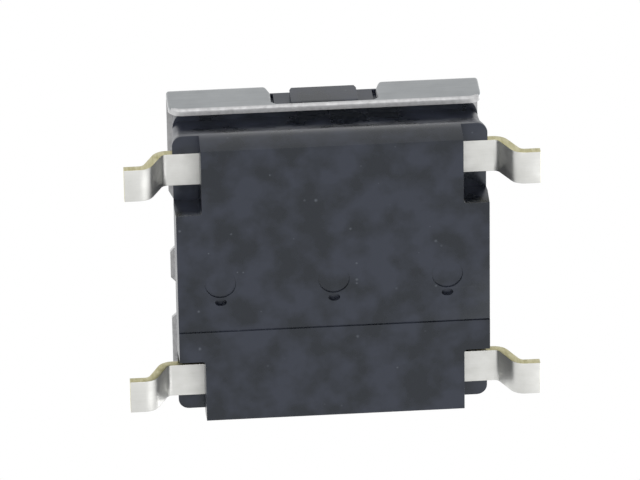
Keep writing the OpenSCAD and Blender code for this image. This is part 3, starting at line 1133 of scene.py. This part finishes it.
@dataclass
class Plunger:
    """Moulded button: stem through the cover's hole, collar under the cover and nub on the disc."""

    datum: Datum
    stem_r: float = 1.75
    edge_r: float = 0.12
    collar_r: float = 2.10
    collar_t: float = 0.40
    nub_r: float = 0.70
    soft: float = 0.03
    soft_steps: int = 3

    def build(self, plastic: bpy.types.Material) -> bpy.types.Object:
        """Turn the plunger's profile and dress it.

        Args:
            plastic: Its only material.

        Returns:
            The finished object.
        """
        low, high = (corner.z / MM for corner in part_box("plunger"))
        collar_z, top = self.datum.base_top - self.collar_t, self.datum.base_top
        soft, steps = self.soft, self.soft_steps
        profile = [
            (0, low), *arc((self.nub_r - soft, low + soft), soft, -90, 0, steps), (self.nub_r, collar_z),
            *arc((self.collar_r - soft, collar_z + soft), soft, -90, 0, steps),
            *arc((self.collar_r - soft, top - soft), soft, 0, 90, steps), (self.stem_r, top),
            *arc((self.stem_r - self.edge_r, high - self.edge_r), self.edge_r, 0, 90), (0, high)]
        work = Workpiece("push_button")
        work.spin(profile)
        return work.finish("plunger", "plunger", "plunger_plastic", [plastic])


@dataclass
class ContactDisc:
    """Domed snap disc over the strips."""

    radius: float = 2.0
    thickness: float = 0.06
    bow_steps: int = 12
    pressed: float = 0.38

    def build(self, steel: bpy.types.Material) -> bpy.types.Object:
        """Turn the disc's section and dress it.

        Args:
            steel: Its only material.

        Returns:
            The finished object.
        """
        low, high = (corner.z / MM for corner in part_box("contact_disc"))
        rise = high - low - self.thickness
        bow = (self.radius ** 2 + rise ** 2) / (2 * rise)
        rim = math.degrees(math.asin(self.radius / bow))
        centre = (0.0, low + rise - bow)
        under = arc(centre, bow, 90, 90 - rim, self.bow_steps)
        over = arc(centre, bow + self.thickness, 90 - rim, 90, self.bow_steps)
        work = Workpiece("snap_disc")
        work.spin([(max(r, 0.0), max(z, low)) for r, z in under + over])
        piece = work.finish("contact_disc", "housing", "disc_steel", [steel])
        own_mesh(piece)
        return piece


@dataclass(frozen=True)
class SoftLamp:
    """Broad square lamp that faces the switch."""

    name: str
    place: tuple[float, float, float]
    size: float
    level: float

    def build(self) -> bpy.types.Object:
        """Place the lamp.

        Returns:
            The lamp, at a power at which a white surface that faces it shines at its level.
        """
        place = Vector(self.place)
        data = bpy.data.lights.new(self.name, "AREA")
        data.shape = "SQUARE"
        data.size = self.size
        data.energy = self.level * math.pi ** 2 * place.length_squared
        lamp = bpy.data.objects.new(self.name, data)
        lamp.location = place
        lamp.rotation_euler = place.to_track_quat("Z", "Y").to_euler()
        bpy.context.scene.collection.objects.link(lamp)
        return lamp


@dataclass(frozen=True)
class ViewPoint:
    """Camera of the photograph, under the switch and a little in front of it.

    The tilts turn the switch in front of a camera that looks along +Z with +Y down the picture.
    """

    tilt: float = 0.46083660
    swing: float = -0.07052678
    roll: float = -0.01525909
    offset: Point = (0.27429107 * MM, 0.82568665 * MM)
    distance: float = 120 * MM
    focal_px: float = 6296.3135
    picture_px: float = 640.0
    sensor_mm: float = 36.0

    def build(self) -> bpy.types.Object:
        """Place the camera and make it the scene's.

        Returns:
            The camera.
        """
        turn = (Matrix.Rotation(self.roll, 3, "Z") @ Matrix.Rotation(self.tilt, 3, "X")
                @ Matrix.Rotation(self.swing, 3, "Y")).transposed()
        data = bpy.data.cameras.new("photograph_view")
        data.sensor_width = self.sensor_mm
        data.lens = self.focal_px * self.sensor_mm / self.picture_px
        data.clip_start, data.clip_end = self.distance / 10, self.distance * 20
        camera = bpy.data.objects.new("photograph_view", data)
        face_about = Matrix.Diagonal((1, -1, -1))
        place = turn @ -Vector((*self.offset, self.distance))
        camera.matrix_world = Matrix.Translation(place) @ (turn @ face_about).to_4x4()
        bpy.context.scene.collection.objects.link(camera)
        bpy.context.scene.camera = camera
        return camera


@dataclass
class Studio:
    """White surroundings, soft lamps above and below, a pale floor and the camera."""

    ambient: float = 0.55
    floor_colour: Colour = (0.86, 0.86, 0.86)
    floor_half: float = 600 * MM
    floor_z: float = -0.004 * MM
    lamps: tuple[SoftLamp, ...] = (
        SoftLamp("key_above", (0.36, 0.14, 0.30), 0.30, 0.42),
        SoftLamp("fill_above", (-0.34, 0.12, 0.30), 0.30, 0.10),
        SoftLamp("key_below", (-0.10, -0.26, -0.36), 0.34, 0.34),
        SoftLamp("fill_below", (0.28, 0.18, -0.30), 0.34, 0.14))
    view: ViewPoint = ViewPoint()

    def build(self) -> None:
        """Set up everything round the switch."""
        scene = bpy.context.scene
        scene.view_settings.view_transform = "Standard"
        self._surroundings(scene)
        self._floor(scene)
        for lamp in self.lamps:
            lamp.build()
            LOG.info("lamp %s at level %.2f", lamp.name, lamp.level)
        self.view.build()

    def _surroundings(self, scene: bpy.types.Scene) -> None:
        """White for what looks at it or mirrors it, and a plainer level as light.

        Args:
            scene: The scene that they surround.
        """
        world = bpy.data.worlds.new("studio")
        sheet = NodeSheet.of(world)
        rays = sheet.add("ShaderNodeLightPath").outputs
        seen = sheet.math("MAXIMUM", rays["Is Camera Ray"], rays["Is Glossy Ray"])
        seen = sheet.math("MAXIMUM", seen, rays["Is Transmission Ray"])
        light = sheet.add("ShaderNodeBackground", {"Color": (1, 1, 1, 1), "Strength": self.ambient})
        white = sheet.add("ShaderNodeBackground", {"Color": (1, 1, 1, 1), "Strength": 1.0})
        mixed = sheet.add("ShaderNodeMixShader", {0: seen, 1: light.outputs[0], 2: white.outputs[0]})
        sheet.add("ShaderNodeOutputWorld", {"Surface": mixed.outputs[0]})
        scene.world = world

    def _floor(self, scene: bpy.types.Scene) -> None:
        """Pale floor that shows from above, and lets light and looks from below through.

        Args:
            scene: The scene that it lies in.
        """
        bm = bmesh.new()
        bmesh.ops.create_grid(
            bm, x_segments=1, y_segments=1, size=self.floor_half,
            matrix=Matrix.Translation((0, 0, self.floor_z)))
        mesh = bpy.data.meshes.new("floor")
        bm.to_mesh(mesh)
        bm.free()
        material = bpy.data.materials.new("floor")
        sheet = NodeSheet.of(material)
        camera_ray = sheet.add("ShaderNodeLightPath").outputs["Is Camera Ray"]
        under = sheet.add("ShaderNodeNewGeometry").outputs["Backfacing"]
        shown = sheet.math("MULTIPLY", camera_ray, sheet.math("SUBTRACT", 1.0, under))
        pale = sheet.add("ShaderNodeBsdfDiffuse", {"Color": (*self.floor_colour, 1)})
        clear = sheet.add("ShaderNodeBsdfTransparent")
        mixed = sheet.add("ShaderNodeMixShader", {0: shown, 1: clear.outputs[0], 2: pale.outputs[0]})
        sheet.add("ShaderNodeOutputMaterial", {"Surface": mixed.outputs[0]})
        mesh.materials.append(material)
        floor = bpy.data.objects.new("floor", mesh)
        scene.collection.objects.link(floor)


def main() -> None:
    """Dress the whole switch and set it in its studio."""
    logging.basicConfig(level=logging.INFO, format="%(name)s: %(message)s")
    Studio().build()
    effects = Effects()
    datum = Datum.from_frame()
    Base(datum).build(BASE_PLASTIC.material(effects))
    Cover(datum).build(COVER_STEEL.material(effects), COVER_EDGE_AND_HIGHLIGHT.material(effects))
    plating, brass = LEAD_PLATING.material(effects), LEAD_EDGE.material(effects)
    for side in Side:
        Terminal(datum, side).build(plating, brass)
    ContactDisc().build(DISC_STEEL.material(effects))
    Plunger(datum).build(PLUNGER_PLASTIC.material(effects))


if __name__ == "__main__":
    main()
